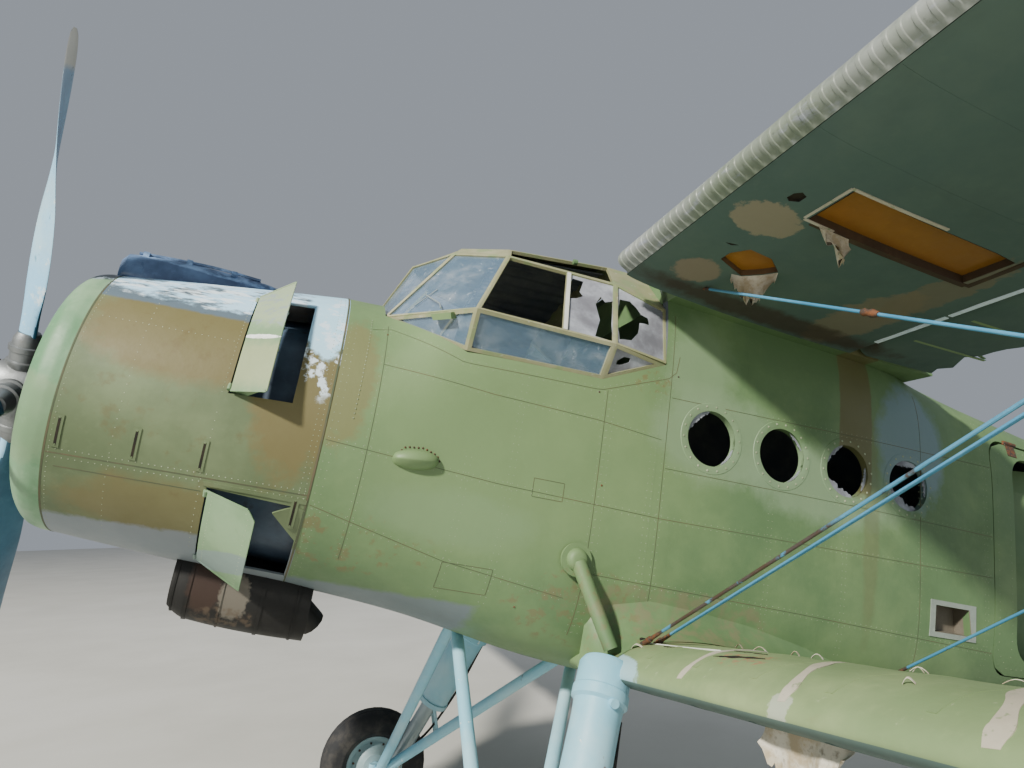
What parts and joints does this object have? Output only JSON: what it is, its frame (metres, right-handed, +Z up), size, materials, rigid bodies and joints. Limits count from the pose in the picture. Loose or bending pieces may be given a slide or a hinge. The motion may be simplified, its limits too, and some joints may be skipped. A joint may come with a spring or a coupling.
{
  "type": "light aircraft",
  "caption": "Utility biplane with a radial engine, bulged cockpit glazing, round cabin windows, braced wings, fixed main legs and a swivelling tail wheel.",
  "frame": {"origin": "centre of the bounding box in plan, at the lowest point, where the wheels stand", "axes": "+X towards the tail, +Y to starboard, +Z up, with the aircraft standing nose up on its main wheels and tail wheel"},
  "size_m": [12.8452, 18.1764, 4.5619],
  "materials": {
    "green_paint": "faded olive green paint, scuffed and patched",
    "pale_green_paint": "fresh pale green paint",
    "blue_paint": "worn light blue paint",
    "black_paint": "dull black paint with grime",
    "bare_metal": "dull bare metal",
    "doped_fabric": "doped and painted covering, worn",
    "tyre": "dusty rubber",
    "glazing": "clear",
    "seat_cloth": "worn"
  },
  "bodies": {
    "airframe": {"upper_wing_port": "doped_fabric", "lower_wing_port": "doped_fabric", "upper_wing_starboard": "doped_fabric", "lower_wing_starboard": "doped_fabric", "forward_fuselage": "green_paint", "cabin_fuselage": "green_paint", "tail_cone": "green_paint", "lower_centre_section": "green_paint", "cabin_floor": "bare_metal", "instrument_panel": "black_paint", "pilot_seat_port": "seat_cloth", "pilot_seat_starboard": "seat_cloth", "canopy_frame": "green_paint", "canopy_glass": "glazing", "engine": "bare_metal", "cowl_nose_ring": "pale_green_paint", "cowl_upper": "green_paint", "cowl_lower": "green_paint", "exhaust_pipe": "bare_metal", "intake_scoop": "black_paint", "oil_cooler": "black_paint", "interplane_strut_port": "green_paint", "bracing_wires_port": "blue_paint", "interplane_strut_starboard": "green_paint", "bracing_wires_starboard": "blue_paint", "fin": "doped_fabric", "tailplane_port": "doped_fabric", "tailplane_strut_port": "blue_paint", "tailplane_starboard": "doped_fabric", "tailplane_strut_starboard": "blue_paint", "main_leg_port": "blue_paint", "leg_braces_port": "blue_paint", "main_leg_starboard": "blue_paint", "leg_braces_starboard": "blue_paint", "tail_leg": "blue_paint"},
    "propeller": {"propeller": "blue_paint", "propeller_dome": "bare_metal"},
    "main_wheel_port": {"main_tyre_port": "tyre", "main_rim_port": "bare_metal"},
    "main_wheel_starboard": {"main_tyre_starboard": "tyre", "main_rim_starboard": "bare_metal"},
    "tail_fork": {"tail_fork": "bare_metal"},
    "tail_wheel": {"tail_wheel": "tyre"},
    "rudder": {"rudder": "doped_fabric"},
    "elevators": {"elevator_port": "doped_fabric", "elevator_starboard": "doped_fabric"},
    "cargo_door": {"cargo_door": "green_paint"},
    "entry_door": {"entry_door": "green_paint"},
    "aileron_port": {"aileron_port": "doped_fabric"},
    "upper_flap_port": {"upper_flap_port": "doped_fabric"},
    "lower_flap_port": {"lower_flap_port": "doped_fabric"},
    "slat_port": {"slat_port": "doped_fabric"},
    "cowl_flap_upper_port": {"cowl_flap_upper_port": "green_paint"},
    "cowl_flap_lower_port": {"cowl_flap_lower_port": "green_paint"},
    "aileron_starboard": {"aileron_starboard": "doped_fabric"},
    "upper_flap_starboard": {"upper_flap_starboard": "doped_fabric"},
    "lower_flap_starboard": {"lower_flap_starboard": "doped_fabric"},
    "slat_starboard": {"slat_starboard": "doped_fabric"},
    "cowl_flap_upper_starboard": {"cowl_flap_upper_starboard": "green_paint"},
    "cowl_flap_lower_starboard": {"cowl_flap_lower_starboard": "green_paint"}
  },
  "joints": [
    {"name": "propeller_spin", "type": "hinge", "parent": "airframe", "child": "propeller", "pos_m": [-6.15973, 0, 2.98725], "axis": [0.9816, 0, -0.1908], "continuous": true},
    {"name": "main_wheel_spin_port", "type": "hinge", "parent": "airframe", "child": "main_wheel_port", "pos_m": [-4.06492, -1.68, 0.4], "axis": [0, 1, 0], "continuous": true},
    {"name": "main_wheel_spin_starboard", "type": "hinge", "parent": "airframe", "child": "main_wheel_starboard", "pos_m": [-4.06492, 1.68, 0.4], "axis": [0, 1, 0], "continuous": true},
    {"name": "tail_swivel", "type": "hinge", "parent": "airframe", "child": "tail_fork", "pos_m": [4.02462, 0, 0.235], "axis": [0, 0, 1], "continuous": true},
    {"name": "tail_wheel_spin", "type": "hinge", "parent": "tail_fork", "child": "tail_wheel", "pos_m": [4.15462, 0, 0.235], "axis": [0, 1, 0], "continuous": true},
    {"name": "rudder_turn", "type": "hinge", "parent": "airframe", "child": "rudder", "pos_m": [5.12898, 0, 0.79294], "axis": [0.1908, 0, 0.9816], "range_deg": [-28, 28]},
    {"name": "elevator_turn", "type": "hinge", "parent": "airframe", "child": "elevators", "pos_m": [4.57352, 0, 1.23709], "axis": [0, 1, 0], "range_deg": [-42, 22.5]},
    {"name": "aileron_turn_port", "type": "hinge", "parent": "airframe", "child": "aileron_port", "pos_m": [-1.33821, -0.90749, 3.27569], "axis": [-0.01, 0.9986, -0.0514], "range_deg": [-22, 22]},
    {"name": "aileron_turn_starboard", "type": "hinge", "parent": "airframe", "child": "aileron_starboard", "pos_m": [-1.33821, 0.90749, 3.27569], "axis": [0.01, 0.9986, 0.0514], "range_deg": [-22, 22]},
    {"name": "upper_flap_turn_port", "type": "hinge", "parent": "airframe", "child": "upper_flap_port", "pos_m": [-1.33821, -0.90749, 3.27569], "axis": [-0.01, 0.9986, -0.0514], "range_deg": [0, 40]},
    {"name": "lower_flap_turn_port", "type": "hinge", "parent": "airframe", "child": "lower_flap_port", "pos_m": [-1.76377, -0.90574, 1.1794], "axis": [-0.0143, 0.9972, -0.0736], "range_deg": [0, 40]},
    {"name": "upper_flap_turn_starboard", "type": "hinge", "parent": "airframe", "child": "upper_flap_starboard", "pos_m": [-1.33821, 0.90749, 3.27569], "axis": [0.01, 0.9986, 0.0514], "range_deg": [0, 40]},
    {"name": "lower_flap_turn_starboard", "type": "hinge", "parent": "airframe", "child": "lower_flap_starboard", "pos_m": [-1.76377, 0.90574, 1.1794], "axis": [0.0143, 0.9972, 0.0736], "range_deg": [0, 40]},
    {"name": "slat_slide_port", "type": "slide", "parent": "airframe", "child": "slat_port", "axis": [-0.9908, -0.0029, 0.1356], "range_m": [0, 0.11]},
    {"name": "slat_slide_starboard", "type": "slide", "parent": "airframe", "child": "slat_starboard", "axis": [-0.9908, 0.0029, 0.1356], "range_m": [0, 0.11]},
    {"name": "cowl_flap_upper_turn_port", "type": "hinge", "parent": "airframe", "child": "cowl_flap_upper_port", "pos_m": [-5.06608, -0.63804, 3.13693], "axis": [-0.1706, -0.4478, -0.8777], "range_deg": [-32, 0]},
    {"name": "cowl_flap_lower_turn_port", "type": "hinge", "parent": "airframe", "child": "cowl_flap_lower_port", "pos_m": [-5.23104, -0.46951, 2.25161], "axis": [-0.1221, 0.7684, -0.6282], "range_deg": [-24, 0]},
    {"name": "cowl_flap_upper_turn_starboard", "type": "hinge", "parent": "airframe", "child": "cowl_flap_upper_starboard", "pos_m": [-5.06608, 0.63804, 3.13693], "axis": [0.1706, -0.4478, 0.8777], "range_deg": [-32, 0]},
    {"name": "cowl_flap_lower_turn_starboard", "type": "hinge", "parent": "airframe", "child": "cowl_flap_lower_starboard", "pos_m": [-5.22081, 0.57032, 2.30422], "axis": [0.143, 0.662, 0.7357], "range_deg": [-24, 0]},
    {"name": "cargo_door_turn", "type": "hinge", "parent": "airframe", "child": "cargo_door", "pos_m": [0.42759, -0.73475, 2.57475], "axis": [-0.9758, -0.1085, 0.1897], "range_deg": [0, 100]},
    {"name": "entry_door_turn", "type": "hinge", "parent": "cargo_door", "child": "entry_door", "pos_m": [0.57914, -0.59, 1.67734], "axis": [0.1908, 0, 0.9816], "range_deg": [-58, 32]}
  ],
  "couplings": [
    {"joint": "aileron_turn_starboard", "follows": "aileron_turn_port", "ratio": -1},
    {"joint": "upper_flap_turn_starboard", "follows": "upper_flap_turn_port", "ratio": 1},
    {"joint": "lower_flap_turn_port", "follows": "upper_flap_turn_port", "ratio": 1},
    {"joint": "lower_flap_turn_starboard", "follows": "upper_flap_turn_port", "ratio": 1},
    {"joint": "cowl_flap_lower_turn_starboard", "follows": "cowl_flap_lower_turn_port", "ratio": 1},
    {"joint": "cowl_flap_upper_turn_port", "follows": "cowl_flap_lower_turn_port", "ratio": 1.333},
    {"joint": "cowl_flap_upper_turn_starboard", "follows": "cowl_flap_lower_turn_port", "ratio": 1.333}
  ]
}
